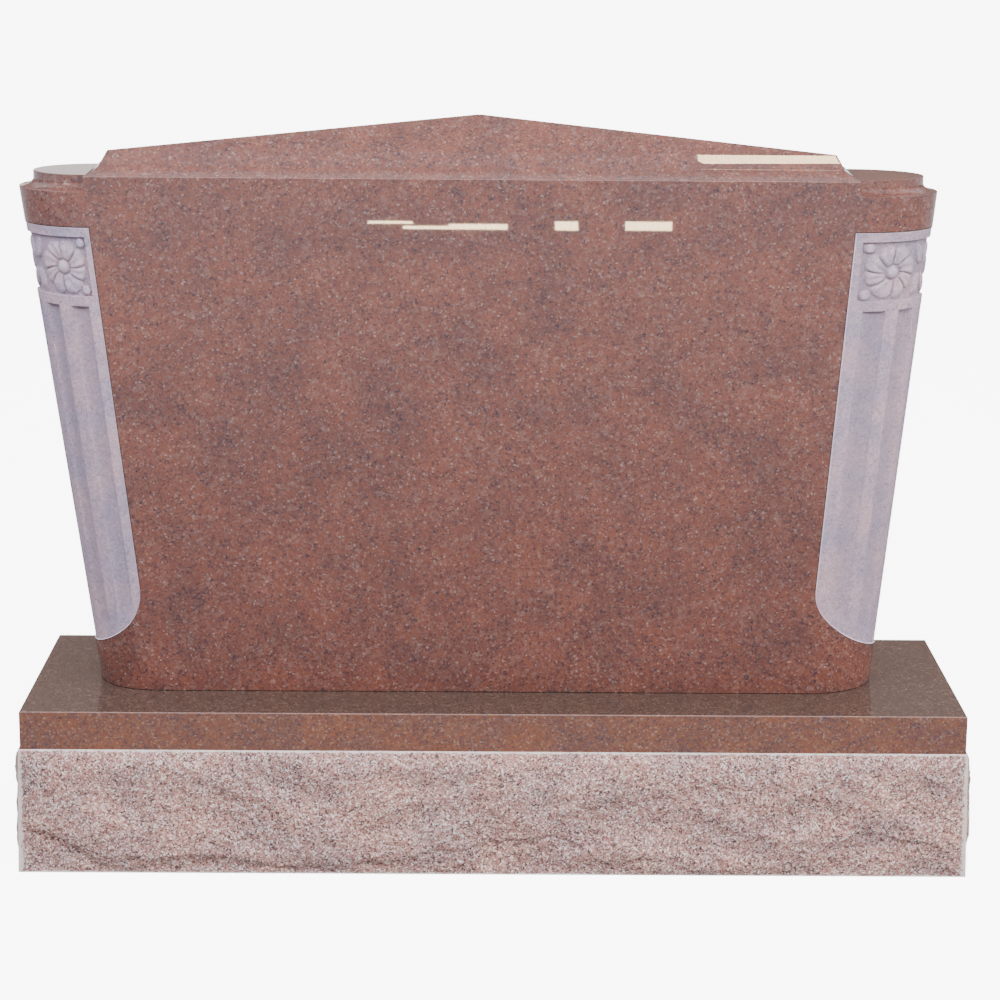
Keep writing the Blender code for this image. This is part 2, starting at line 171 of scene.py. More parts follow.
def rock_side(length, seed):
    """Outward offsets and bruising of one pitched side on a grid of rows by places along it.

    The bulge above carries four sizes of layered noise: ripples, ridged flakes, chips and pits,
    each given as its size and its height. Below a wandering line, which is broken by gaps, the
    face steps back a little, where long flakes came off. All of it fades at the straight pitched
    edges, where the bruising falls from 1 to 0. Each noise has a seed of its own.
    """
    along = np.linspace(-length / 2, length / 2, round(length / ROCK_GRAIN) + 1)
    level = np.linspace(0.0, pitched_height, round(pitched_height / ROCK_GRAIN) + 1)
    x, z = np.meshgrid(along, level)
    relief = np.clip(rock_relief(x, z, length, seed), LEAST_RELIEF, None)
    spread = PITCH_STEP + FOOT_SPREAD * (1.0 - z / pitched_height)
    reach = ((ROCK_PROUD - spread) / relief).min()
    edge = np.minimum(length / 2 - np.abs(x), np.minimum(z, pitched_height - z))
    held = np.clip(edge / EDGE_HOLD, 0.0, 1.0)
    ripples = layered_noise(x, RIPPLE_FLATNESS * z, RIPPLE[0], seed + 100, 2)
    flakes = 1.0 - 2.0 * np.abs(layered_noise(x + FLAKE_SLANT * z, z, FLAKE[0], seed + 200, 3))
    chips = layered_noise(x, z, CHIP[0], seed + 300, 2)
    pits = layered_noise(x, z, PIT[0], seed + 400, 1)
    rough = RIPPLE[1] * ripples + FLAKE[1] * flakes + CHIP[1] * chips + PIT[1] * pits
    line = LEDGE_LEVEL + LEDGE_WANDER * layered_noise(x, 0 * z, LEDGE_WAVE, seed + 500)
    share = np.clip(0.5 + (line - z) / LEDGE_SOFTNESS, 0.0, 1.0)
    gaps = lattice_noise(x / LEDGE_GAP, 0 * z, seed + 600)
    broken = np.clip(LEDGE_CONTRAST * gaps + LEDGE_COVER, 0.0, 1.0)
    offset = spread + reach * relief + held * (rough - LEDGE_STEP * share * broken)
    bruise = np.clip(1.0 - edge / BRUISE_REACH, 0.0, 1.0)
    return along, level, np.clip(offset, 0.0, ROCK_PROUD), bruise


def ring_points(front, right, back, left, long_x, side_y):
    """Outline of one level, anticlockwise; corner points carry the offsets of both sides."""
    front_xy = np.column_stack([long_x, -base_depth / 2 - front])
    back_xy = np.column_stack([long_x, base_depth / 2 + back])
    right_xy = np.column_stack([base_length / 2 + right, side_y])
    left_xy = np.column_stack([-base_length / 2 - left, side_y])
    front_xy[[0, -1], 0] += (-left[0], right[0])
    back_xy[[0, -1], 0] += (-left[-1], right[-1])
    return np.vstack([front_xy, right_xy[1:-1], back_xy[::-1], left_xy[-2:0:-1]])


def grid_faces(rows, columns, closed):
    """Four-sided faces of a grid stored row by row; closed joins the last column to the first."""
    column = np.arange(columns if closed else columns - 1)
    after = (column + 1) % columns
    low = np.arange(rows - 1)[:, None] * columns
    high = low + columns
    faces = np.stack([low + column, low + after, high + after, high + column], axis=-1)
    return faces.reshape(-1, 4)


MERGE_DISTANCE = 2e-6
SPECK_LENGTH = 1e-6
SHARP_ANGLE = 40.0


def build_mesh(name, points, faces, flat_faces, materials, slots, painted_light, bruise):
    """A closed mesh object from points, quads and a few many-sided faces.

    Points that fall together are merged. Painted light is kept for each face: 1 for a painted
    highlight on an arris or rim, -1 for a painted shadow line, with shares between. Bruise is kept
    for each point: 1 on a bruised edge, falling to 0 beside it.
    """
    mesh = bpy.data.meshes.new(name)
    corners = faces.tolist() + [list(face) for face in flat_faces]
    mesh.from_pydata(points.tolist(), [], corners)
    for material in materials:
        mesh.materials.append(material)
    mesh.polygons.foreach_set("material_index", np.asarray(slots, dtype=np.int32))
    face_value = mesh.attributes.new("painted_light", "FLOAT", "FACE")
    face_value.data.foreach_set("value", np.asarray(painted_light, dtype=np.float32))
    point_value = mesh.attributes.new("bruise", "FLOAT", "POINT")
    point_value.data.foreach_set("value", np.asarray(bruise, dtype=np.float32))
    shell = bmesh.new()
    shell.from_mesh(mesh)
    bmesh.ops.remove_doubles(shell, verts=shell.verts, dist=MERGE_DISTANCE)
    bmesh.ops.dissolve_degenerate(shell, edges=shell.edges, dist=SPECK_LENGTH)
    shell.to_mesh(mesh)
    shell.free()
    mesh.shade_smooth()
    mesh.set_sharp_from_angle(angle=math.radians(SHARP_ANGLE))
    piece = bpy.data.objects.new(name, mesh)
    bpy.context.scene.collection.objects.link(piece)
    normals = piece.modifiers.new("Arris normals", "WEIGHTED_NORMAL")
    normals.keep_sharp = True
    return piece


def linear(red, green, blue):
    """An sRGB colour, 0 to 255, as the linear values that shaders take."""
    share = np.array([red, green, blue]) / 255.0
    low = share / 12.92
    high = ((share + 0.055) / 1.055)**2.4
    return tuple(np.where(share <= 0.04045, low, high)) + (1.0,)


def mineral_ramp(nodes, stops):
    """Colour ramp from a grain's chance value to a mineral's colour, with narrow blends."""
    ramp = nodes.new("ShaderNodeValToRGB")
    elements = ramp.color_ramp.elements
    while len(elements) > 1:
        elements.remove(elements[0])
    elements[0].position = stops[0][0]
    elements[0].color = linear(*stops[0][1])
    for position, colour in stops[1:]:
        elements.new(position).color = linear(*colour)
    return ramp


def mixed(tree, factor, first, second):
    """Colour mix of an output or colour with another, by an output or a plain factor."""
    mix = tree.nodes.new("ShaderNodeMix")
    mix.data_type = "RGBA"
    for socket, value in (("Factor", factor), ("A", first), ("B", second)):
        if isinstance(value, bpy.types.NodeSocket):
            tree.links.new(value, mix.inputs[socket])
        else:
            mix.inputs[socket].default_value = value
    return mix.outputs["Result"]


def stretched(tree, value, low, high, to_low, to_high):
    """An output stretched from one range to another and held inside it."""
    stretch = tree.nodes.new("ShaderNodeMapRange")
    tree.links.new(value, stretch.inputs["Value"])
    limits = {"From Min": low, "From Max": high, "To Min": to_low, "To Max": to_high}
    for socket, limit in limits.items():
        stretch.inputs[socket].default_value = limit
    return stretch.outputs["Result"]


def noise_field(tree, place, size, detail):
    """Smooth noise of a size in metres, as a node with a value and a colour."""
    noise = tree.nodes.new("ShaderNodeTexNoise")
    noise.inputs["Scale"].default_value = 1.0 / size
    noise.inputs["Detail"].default_value = detail
    tree.links.new(place, noise.inputs["Vector"])
    return noise


CLOUD = 0.055
CLOUD_DETAIL = 5.0
CLOUD_EDGES = (0.35, 0.65)
SHAKE = 1.2
SHAKE_SIZE = 0.9
SHAKE_DETAIL = 2.0
PAINTED_LIGHT_COVER = 0.7
EDGE_NOISE = 0.006
EDGE_DETAIL = 3.0
BRUISE_EDGES = (1.10, 1.28)
BRUISE_COVER = 0.95
BRUISED = (236, 228, 225)


def granite(name, coarse, fine, sizes, fine_share, tints, roughness, bump_height, rim, line):
    """Granite: two sizes of crystals, each crystal's colour drawn by chance from its ramp.

    The crystals are Voronoi cells whose places are shaken by noise, so that their edges are
    ragged; a slow noise makes clouds between two tints. The mesh's painted-light values bring in a
    painted highlight in the rim colour and painted shade in the line colour, along dark lines and in
    hollows; its bruise values bring in the ragged white of bruised edges.
    """
    material = bpy.data.materials.new(name)
    material.use_nodes = True
    tree = material.node_tree
    shader = tree.nodes["Principled BSDF"]
    place = tree.nodes.new("ShaderNodeTexCoord").outputs["Object"]

    layers = []
    for size, stops in zip(sizes, (coarse, fine)):
        shaken = tree.nodes.new("ShaderNodeVectorMath")
        shaken.operation = "MULTIPLY_ADD"
        shaken.inputs[1].default_value = (SHAKE * size,) * 3
        shaking = noise_field(tree, place, SHAKE_SIZE * size, SHAKE_DETAIL)
        tree.links.new(shaking.outputs["Color"], shaken.inputs[0])
        tree.links.new(place, shaken.inputs[2])
        cells = tree.nodes.new("ShaderNodeTexVoronoi")
        cells.inputs["Scale"].default_value = 1.0 / size
        tree.links.new(shaken.outputs[0], cells.inputs["Vector"])
        chance = tree.nodes.new("ShaderNodeSeparateColor")
        tree.links.new(cells.outputs["Color"], chance.inputs[0])
        ramp = mineral_ramp(tree.nodes, stops)
        tree.links.new(chance.outputs[0], ramp.inputs["Fac"])
        layers.append(ramp.outputs["Color"])
    crystals = mixed(tree, fine_share, *layers)

    clouds = noise_field(tree, place, CLOUD, CLOUD_DETAIL)
    cloud = stretched(tree, clouds.outputs["Fac"], *CLOUD_EDGES, 0.0, 1.0)
    tint = mixed(tree, cloud, (*tints[0], 1.0), (*tints[1], 1.0))
    toned = tree.nodes.new("ShaderNodeVectorMath")
    toned.operation = "MULTIPLY"
    tree.links.new(crystals, toned.inputs[0])
    tree.links.new(tint, toned.inputs[1])

    # Painted highlight towards the rim colour and painted shade towards the line colour, by the mesh's
    # painted-light values.
    painted_light = tree.nodes.new("ShaderNodeAttribute")
    painted_light.attribute_name = "painted_light"
    pale_share = stretched(tree, painted_light.outputs["Fac"], 0.0, 1.0, 0.0, PAINTED_LIGHT_COVER)
    pale = mixed(tree, pale_share, toned.outputs[0], linear(*rim))
    dark_share = stretched(tree, painted_light.outputs["Fac"], -1.0, 0.0, PAINTED_LIGHT_COVER, 0.0)
    dark = mixed(tree, dark_share, pale, linear(*line))
    bruise = tree.nodes.new("ShaderNodeAttribute")
    bruise.attribute_name = "bruise"
    ragged = tree.nodes.new("ShaderNodeMath")
    ragged.operation = "ADD"
    tree.links.new(bruise.outputs["Fac"], ragged.inputs[0])
    edge_noise = noise_field(tree, place, EDGE_NOISE, EDGE_DETAIL)
    tree.links.new(edge_noise.outputs["Fac"], ragged.inputs[1])
    struck = stretched(tree, ragged.outputs[0], *BRUISE_EDGES, 0.0, BRUISE_COVER)
    tree.links.new(mixed(tree, struck, dark, linear(*BRUISED)), shader.inputs["Base Color"])

    shader.inputs["Roughness"].default_value = roughness
    if bump_height:
        bump = tree.nodes.new("ShaderNodeBump")
        bump.inputs["Strength"].default_value = 1.0
        bump.inputs["Distance"].default_value = bump_height
        tree.links.new(chance.outputs[1], bump.inputs["Height"])
        tree.links.new(bump.outputs["Normal"], shader.inputs["Normal"])
    return material


POLISHED_COARSE = ((0.0, (62, 54, 62)), (0.16, (92, 64, 62)), (0.38, (108, 69, 61)),
                   (0.64, (115, 71, 60)), (0.86, (112, 78, 72)), (0.97, (126, 99, 93)))
POLISHED_FINE = ((0.0, (38, 38, 48)), (0.11, (86, 62, 62)), (0.34, (110, 68, 58)),
                 (0.64, (119, 73, 61)), (0.88, (121, 85, 78)), (0.975, (138, 110, 102)),
                 (0.993, (158, 136, 128)))
# Colours of the painted highlight along polished arrises and of the painted shadow line beside the
# carving.
ARRIS_HIGHLIGHT = (214, 196, 196)
SHADOW_LINE = (50, 30, 29)
polished_granite = granite("polished red granite", POLISHED_COARSE, POLISHED_FINE,
                           sizes=(0.0056, 0.0022), fine_share=0.6,
                           tints=((0.84, 0.90, 0.96), (1.14, 1.08, 1.04)),
                           roughness=0.012, bump_height=0.0, rim=ARRIS_HIGHLIGHT, line=SHADOW_LINE)

# The base's top is the same stone. Its colours are darker here only as painted shade and painted
# reflection, standing in for the dim surroundings that it mirrors, which aren't rebuilt.
SHADED_TOP_COARSE = ((0.0, (60, 50, 46)), (0.20, (72, 58, 52)), (0.70, (78, 62, 54)), (0.95, (92, 76, 70)))
SHADED_TOP_FINE = ((0.0, (36, 32, 33)), (0.16, (64, 51, 46)), (0.60, (78, 61, 53)), (0.88, (112, 94, 86)))
shaded_top_granite = granite("polished granite of the base's top", SHADED_TOP_COARSE, SHADED_TOP_FINE,
                      sizes=(0.0042, 0.0022), fine_share=0.5,
                      tints=((0.94, 0.96, 0.98), (1.06, 1.04, 1.02)),
                      roughness=0.05, bump_height=0.0, rim=ARRIS_HIGHLIGHT, line=SHADOW_LINE)

HONED_COARSE = ((0.0, (72, 64, 72)), (0.18, (102, 72, 69)), (0.42, (116, 76, 64)),
                (0.72, (126, 79, 59)), (0.94, (130, 97, 86)))
HONED_FINE = ((0.0, (46, 46, 58)), (0.13, (92, 69, 74)), (0.38, (120, 76, 62)),
              (0.70, (128, 82, 57)), (0.90, (130, 98, 84)), (0.985, (158, 134, 120)))
honed_granite = granite("honed granite", HONED_COARSE, HONED_FINE,
                        sizes=(0.0046, 0.0021), fine_share=0.65,
                        tints=((0.88, 0.94, 1.02), (1.10, 1.03, 0.94)),
                        roughness=0.42, bump_height=0.0002, rim=ARRIS_HIGHLIGHT, line=SHADOW_LINE)

ROCK_COARSE = ((0.0, (134, 108, 108)), (0.22, (170, 130, 126)), (0.5, (200, 146, 136)),
               (0.78, (190, 158, 150)), (0.93, (206, 178, 170)))
ROCK_FINE = ((0.0, (16, 16, 20)), (0.12, (72, 62, 66)), (0.24, (154, 118, 112)),
             (0.56, (208, 153, 141)), (0.78, (210, 180, 172)), (0.92, (255, 250, 246)))
rock_granite = granite("rock-pitched granite", ROCK_COARSE, ROCK_FINE,
                       sizes=(0.0038, 0.0018), fine_share=0.8,
                       tints=((0.84, 0.88, 0.93), (1.06, 1.00, 0.97)),
                       roughness=0.85, bump_height=0.0014, rim=ARRIS_HIGHLIGHT, line=SHADOW_LINE)
TOP_SLOT, ROCK_SLOT, HONED_SLOT = range(3)
# Share of painted highlight along polished arrises.
ARRIS_HIGHLIGHT_SHARE = 0.2

long_x, levels, front, long_bruise = rock_side(base_length, SIDE_SEEDS[0])
side_y, levels, right, side_bruise = rock_side(base_depth, SIDE_SEEDS[1])
long_x, levels, back, long_bruise = rock_side(base_length, SIDE_SEEDS[2])
side_y, levels, left, side_bruise = rock_side(base_depth, SIDE_SEEDS[3])
outline = [ring_points(*offsets, long_x, side_y) for offsets in zip(front, right, back, left)]
outline_z = list(levels)
margin_rings = ((pitched_height + MARGIN_LIP, 0.0), (base_height - ARRIS, 0.0), (base_height, -ARRIS))
for z, out in margin_rings:
    plain_long = np.full(len(long_x), out)
    plain_side = np.full(len(side_y), out)
    outline.append(ring_points(plain_long, plain_side, plain_long, plain_side, long_x, side_y))
    outline_z.append(z)
around = len(outline[0])
base_points = np.vstack([np.column_stack([ring, np.full(around, z)])
                         for ring, z in zip(outline, outline_z)])
base_faces = grid_faces(len(outline), around, True)
base_slots = np.where(base_faces[:, 0] < around * (len(levels) - 1), ROCK_SLOT, HONED_SLOT)
caps = (range(around - 1, -1, -1), range(around * (len(outline) - 1), around * len(outline)))
# A painted highlight along the arris between the polished margin and the top.
base_painted_light = np.zeros(len(base_faces) + 2)
base_painted_light[around * (len(outline) - 2):-2] = ARRIS_HIGHLIGHT_SHARE
bruised = np.hstack([long_bruise, side_bruise[:, 1:-1], long_bruise, side_bruise[:, 1:-1]])
base_bruise = np.concatenate([bruised.ravel(), np.zeros(len(margin_rings) * around)])
base_piece = build_mesh("base_stone", base_points, base_faces, caps,
                        (shaded_top_granite, rock_granite, honed_granite),
                        list(base_slots) + [ROCK_SLOT, TOP_SLOT], base_painted_light, base_bruise)
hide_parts("base")
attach(base_piece, "root")


# Headstone: the tablet
# One block of the same red granite, polished on its faces and moulded top. Its half-round ends
# are cut back a millimetre below a curved line and left unpolished, with six flutes under a
# sunk panel of rosettes and leaves. It stands on the base by its own weight.
STONE_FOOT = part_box("headstone")[0][2]
SET_LEFT = 0.010
LEAN_LEFT = 0.0135
FACE_LEFT = 0.0085
THICKNESS = 0.165
FOOT_LENGTH = 1.032
LEDGE_LENGTH = 1.185
FACE_FOOT_LENGTH = 0.856
FACE_TOP_LENGTH = 0.985
LEDGE_HEIGHT = 0.656
FACE_HEIGHT = 0.6755
TIER_SETBACK = 0.0185
TIER_COVE_RISE = 0.010
NOTCH_ROUND = 0.008
COLUMN_RECESS = 0.001
COLUMN_TOP = 0.6105
COLUMN_ARC_SIDE = 0.139
COLUMN_ARC_LOW = 0.052
PANEL_TOP = 0.5985
PANEL_BOTTOM = 0.5215
PANEL_DEPTH = 0.004
PANEL_MARGIN = 0.008
CARVED_EDGE = 0.0012
DARK_LINE = 0.0013
FLUTES = 6
FIRST_FLUTE = 0.029
FLUTE_TOP = 0.5095
FLUTE_DEPTH = 0.0055
FLUTE_WIDTH = 0.027
FLUTE_RUNOUT = 0.030
FLUTE_FOOT_DEPTH = 0.003
CARVING_SHIFT = 1.9
FLUTE_FULLNESS = 0.5
# Painted shade in the flutes and on the panel's floor; painted highlight on the carving's tops and its
# rims.
HOLLOW_SHADE = 0.6
FLOOR_SHADE = 0.7
RELIEF_TOP_HIGHLIGHT = 0.7
RIM_HIGHLIGHT = 0.8
CARVING_GRAIN = 0.00115
GRAIN_CLEAR = 0.45
JUST_INSIDE = 0.999
ARRIS_TURNS = (0.0, 30.0, 60.0, 90.0)
APRON_ROWS = 5
SHAFT_FOOT_SHARE = 0.12
SHAFT_FOOT_ROWS = 12
SHAFT_ROWS = 40
PANEL_ROWS = 66
COVE_ROWS = 13


def half_length_at(z):
    """Half the length of the flat polished face at a height; its edges lean outwards."""
    return (FACE_FOOT_LENGTH + (FACE_TOP_LENGTH - FACE_FOOT_LENGTH) * z / FACE_HEIGHT) / 2


def reach_at(side, z):
    """How far the right (1) or left (-1) end reaches past the flat face; 0 gives their mean."""
    half_length = (FOOT_LENGTH + (LEDGE_LENGTH - FOOT_LENGTH) * z / LEDGE_HEIGHT) / 2
    return half_length - half_length_at(z) + side * FACE_LEFT


def end_surface(side, angle, z, inset):
    """Half-round end: half an ellipse at each height, from 0 at the front to 180 at the back.

    x is the flat face's half length plus the reach times the sine of the angle, y is half the
    thickness times minus its cosine, and the inset moves a point inwards, square to the ellipse.
    The whole shifts left in proportion to the height, up to the ledge. The carving lies a little
    further round on the right end than on the left one.
    """
    level = np.minimum(z, LEDGE_HEIGHT)
    shift = CARVING_SHIFT * np.clip(np.minimum(angle, 180.0 - angle) / FIRST_CENTRE, 0.0, 1.0)
    turn = np.radians(angle + side * shift * np.cos(np.radians(angle)))
    reach = reach_at(side, level)
    normal_x = np.sin(turn) / reach
    normal_y = -np.cos(turn) / (THICKNESS / 2)
    length = np.hypot(normal_x, normal_y)
    x = side * (half_length_at(level) + reach * np.sin(turn) - inset * normal_x / length)
    y = -THICKNESS / 2 * np.cos(turn) - inset * normal_y / length
    middle = -SET_LEFT - FACE_LEFT - LEAN_LEFT * level / LEDGE_HEIGHT
    return np.stack([middle + x, y, STONE_FOOT + z], axis=-1)


def degrees_round(length):
    """Angle round the half-round end that a length along its surface takes."""
    return np.degrees(length / ((reach_at(0, PANEL_BOTTOM) + THICKNESS / 2) / 2))


def smooth_step(low, high, value):
    """0 below low, 1 above high and an S curve between them."""
    share = np.clip((value - low) / (high - low), 0.0, 1.0)
    return share * share * (3.0 - 2.0 * share)


FIRST_CENTRE = degrees_round(FIRST_FLUTE)
FLUTE_CENTRES = FIRST_CENTRE + np.arange(FLUTES) * (180.0 - 2 * FIRST_CENTRE) / (FLUTES - 1)


def flute_hollow(angle, z, foot):
    """Depth of the flutes: flattened half an ellipse across, running out softly at the foot."""
    across = np.abs(angle[..., None] - FLUTE_CENTRES).min(axis=-1) / (degrees_round(FLUTE_WIDTH) / 2)
    up = (z - foot) / (FLUTE_TOP - foot)
    depth = FLUTE_FOOT_DEPTH + (FLUTE_DEPTH - FLUTE_FOOT_DEPTH) * up
    hollow = np.clip(1.0 - across**2, 0.0, 1.0)**FLUTE_FULLNESS
    return depth * hollow * smooth_step(0.0, FLUTE_RUNOUT, z - foot)


ROSETTE_RADIUS = 0.035
ROSETTE_DROP = 0.0015
ROSETTE_HEIGHT = 0.0045
BOSS_RADIUS = 0.0085
PETALS = 8
PETAL_TWIST = 0.3
TWIST_MIDDLE = 0.6
PETAL_WAVES = ((2.0, 0.07, 0.8), (3.0, 0.05, 2.1))
PETAL_NOTCH = 0.16
PETAL_UNEVEN = 0.03
GROOVE = 0.115
GROOVE_DEPTH = 0.95
GROOVE_LEAST = 0.25
CREASE_WIDTH = 0.10
CREASE_DEPTH = 0.16
CREASE_START = (0.25, 0.5)
CREASE_END = 0.92
DISH_DEPTH = 0.50
DISH_REACH = (0.25, 0.80)
MOAT_PLACE = 1.15
MOAT_WIDTH = 0.16
MOAT_DEPTH = 0.70
BOSS_HEIGHT = 1.05
ROSETTE_FROM_EDGE = 0.0465
CURL_RADIUS = 0.0065
CURL_GAP = 0.0006
LEAF_LENGTH = 0.030
LEAF_WIDTH = 0.014
LEAF_HEIGHT = 0.0035
LEAF_FROM_ROSETTE = 0.044
LEAF_SPACING = 0.021
LEAF_UP = 0.0195
LEAF_TILT = 25.0
VEIN_WIDTH = 0.07
VEIN_DEPTH = 0.35


def cushion(distance, height):
    """Domed form from a distance that is 0 at its middle and 1 at its rim."""
    return height * np.sqrt(np.clip(1.0 - distance**4, 0.0, 1.0))


def rosette(across, up):
    """Relief of a rosette: round-ended dished petals, parted by grooves, round a domed boss.

    The petals' boundary is the radius times one minus a notch where two petals meet. Two slow
    waves of the angle make them unequal. Their height falls to nothing in the grooves, dips a
    little down their middle and towards the boss, and falls in a moat round the boss.
    """
    share = np.hypot(across, up) / ROSETTE_RADIUS
    turn = np.arctan2(up, across) + PETAL_TWIST * (share - TWIST_MIDDLE)
    waves = [strength * np.sin(count * turn + shift) for count, strength, shift in PETAL_WAVES]
    turn = turn + waves[0] + waves[1]
    lobe = np.abs(np.sin(PETALS / 2 * turn))
    rim = (1.0 - PETAL_NOTCH * (1.0 - lobe)**2) * (1.0 + PETAL_UNEVEN * np.sin(3.0 * turn))
    petal = cushion(np.clip(share / rim, 0.0, 1.0), 1.0)
    groove = np.exp(-(lobe * np.maximum(share, GROOVE_LEAST) / GROOVE)**2)
    crease = np.exp(-((1.0 - lobe) / CREASE_WIDTH)**2) * smooth_step(*CREASE_START, share)
    dish = 1.0 - DISH_DEPTH + DISH_DEPTH * smooth_step(*DISH_REACH, share)
    petal = petal * dish * (1.0 - GROOVE_DEPTH * groove)
    petal = petal - CREASE_DEPTH * crease * (share < CREASE_END * rim)
    ring = share * ROSETTE_RADIUS / BOSS_RADIUS
    moat = MOAT_DEPTH * np.exp(-((ring - MOAT_PLACE) / MOAT_WIDTH)**2)
    boss = BOSS_HEIGHT * np.sqrt(np.clip(1.0 - ring**2, 0.0, 1.0))
    relief = np.maximum(np.maximum(petal - moat, boss), 0.0)
    return ROSETTE_HEIGHT * relief * (share < rim)


def leaf(across, up, tilt, length, width, vein):
    """Domed oval leaf, tilted, with a groove along it; a round curl where it is as wide as long."""
    lean = np.radians(tilt)
    x = across * np.cos(lean) + up * np.sin(lean)
    y = up * np.cos(lean) - across * np.sin(lean)
    distance = np.hypot(x / (width / 2), y / (length / 2))
    groove = vein * np.exp(-(x / (VEIN_WIDTH * width))**2)
    return cushion(np.clip(distance, 0.0, 1.0), LEAF_HEIGHT) * (1.0 - groove) * (distance < 1.0)


def panel_relief(angle, z):
    """Height of the carving over the panel's floor: the highest of its rosettes, curls and leaves."""
    nearest = np.minimum(angle, 180.0 - angle)
    along = nearest / degrees_round(1.0)
    up = z - (PANEL_TOP + PANEL_BOTTOM) / 2
    relief = rosette(along - ROSETTE_FROM_EDGE, up + ROSETTE_DROP)
    from_side = CARVED_EDGE + CURL_GAP + CURL_RADIUS
    curl_along = PANEL_MARGIN + from_side
    curl_up = (PANEL_TOP - PANEL_BOTTOM) / 2 - from_side
    mirrored = np.abs(up)
    curl = leaf(along - curl_along, mirrored - curl_up, 0.0, 2 * CURL_RADIUS, 2 * CURL_RADIUS, 0.0)
    relief = np.maximum(relief, curl)
    for step, lean in ((0, 1), (1, -1)):
        leaf_along = ROSETTE_FROM_EDGE + LEAF_FROM_ROSETTE + step * LEAF_SPACING
        form = leaf(along - leaf_along, mirrored - LEAF_UP, lean * LEAF_TILT,
                    LEAF_LENGTH, LEAF_WIDTH, VEIN_DEPTH)
        relief = np.maximum(relief, form)
    bud = leaf(along - 90.0 / degrees_round(1.0), up, 0.0, LEAF_LENGTH, LEAF_WIDTH, VEIN_DEPTH)
    return np.maximum(relief, bud)


def column_arc(angle):
    """Height of the carved column's lower edge: half an ellipse round the end."""
    across = np.clip(1.0 - angle / 90.0, -1.0, 1.0)
    return COLUMN_ARC_SIDE - (COLUMN_ARC_SIDE - COLUMN_ARC_LOW) * np.sqrt(1.0 - across**2)


edge_turn = degrees_round(CARVED_EDGE)
margin_turn = degrees_round(PANEL_MARGIN)
grain_turn = degrees_round(CARVING_GRAIN)
edges = np.array([0.0, edge_turn, margin_turn, margin_turn + edge_turn])
flute_rims = FLUTE_CENTRES[:, None] + np.array([-0.5, 0.5]) * degrees_round(FLUTE_WIDTH)
fixed_angles = np.concatenate([edges, 180.0 - edges, flute_rims.ravel()])
even_angles = np.linspace(0.0, 180.0, round(180.0 / grain_turn) + 1)
clear = np.abs(even_angles[:, None] - fixed_angles).min(axis=1) > grain_turn * GRAIN_CLEAR
angles = np.sort(np.concatenate([even_angles[clear], fixed_angles]))

arris_turn = np.radians(ARRIS_TURNS)[:, None]
arris_out = ARRIS * (1.0 - np.cos(arris_turn))
arris_up = ARRIS * np.sin(arris_turn)
none = np.zeros((1, len(angles)))
foot = column_arc(angles)[None, :]
edge_limit = edge_turn * JUST_INSIDE
margin_limit = (margin_turn + edge_turn) * JUST_INSIDE
inside_edge = (angles > edge_limit) & (angles < 180.0 - edge_limit)
inside_margin = (angles > margin_limit) & (angles < 180.0 - margin_limit)
recess = np.where(inside_edge, COLUMN_RECESS, 0.0)[None, :]
sunk = np.where(inside_margin, PANEL_DEPTH, 0.0)[None, :]

apron_z = ARRIS + np.linspace(0.0, 1.0, APRON_ROWS)[:, None] * (foot - DARK_LINE - ARRIS)
shaft_share = np.concatenate([np.linspace(0.0, SHAFT_FOOT_SHARE, SHAFT_FOOT_ROWS),
                              np.linspace(SHAFT_FOOT_SHARE, 1.0, SHAFT_ROWS)[1:]])[:, None]
shaft_z = foot + CARVED_EDGE + shaft_share * (FLUTE_TOP - 2 * CARVED_EDGE - foot)
panel_z = np.linspace(PANEL_BOTTOM + CARVED_EDGE, PANEL_TOP - CARVED_EDGE, PANEL_ROWS)[:, None] + none
panel_relief_here = np.where(inside_margin, panel_relief(angles + none, panel_z), 0.0)

nearest = np.minimum(angles, 180.0 - angles)
fall = np.maximum(0.0, NOTCH_ROUND - reach_at(0, LEDGE_HEIGHT) * np.sin(np.radians(nearest)))
ledge = (LEDGE_HEIGHT + NOTCH_ROUND - np.sqrt(NOTCH_ROUND**2 - fall**2))[None, :]
cove_turn = np.radians(np.linspace(0.0, 90.0, COVE_ROWS))[1:, None]
shaft_hollow = flute_hollow(angles + none, shaft_z, foot + CARVED_EDGE)

# The end's rows from the foot up, as heights and insets, each block under its own name.
blocks = {
    "foot arris": (arris_out[:-1] + none, ARRIS - arris_up[:-1] + none),
    "apron": (apron_z, 0.0 * apron_z),
    "arc": (foot, none),
    "shaft": (shaft_z, recess + shaft_hollow),
    "flute head": (np.array([[FLUTE_TOP], [PANEL_BOTTOM]]) + none, recess + np.zeros((2, 1))),
    "panel": (panel_z, recess + sunk - panel_relief_here),
    "panel head": (np.array([[PANEL_TOP], [COLUMN_TOP - CARVED_EDGE]]) + none, recess + np.zeros((2, 1))),
    "column head": (np.array([[COLUMN_TOP], [COLUMN_TOP + DARK_LINE]]) + none, np.zeros((2, 1)) + none),
    "ledge": (ledge - ARRIS + arris_up, arris_out + none),
    "cove": (ledge + TIER_COVE_RISE * (1.0 - np.cos(cove_turn)), TIER_SETBACK * np.sin(cove_turn) + none),
    "face arris": (FACE_HEIGHT - ARRIS + arris_up + none, TIER_SETBACK + arris_out + none),
}
start = dict(zip(blocks, np.cumsum([0] + [len(z) for z, inset in blocks.values()])))
grid_z = np.vstack([z for z, inset in blocks.values()])
grid_inset = np.vstack([inset for z, inset in blocks.values()])
face_inset = grid_inset[:, :1].copy()
face_inset[start["ledge"]:] = 0.0
face_inset[start["face arris"]:] = arris_out
round_angles = np.concatenate([[0.0, 0.0], angles, [180.0, 180.0]])
round_z = np.hstack([grid_z[:, :1]] * 2 + [grid_z] + [grid_z[:, -1:]] * 2)
round_inset = np.hstack([face_inset] * 2 + [grid_inset] + [face_inset] * 2)
ends = []
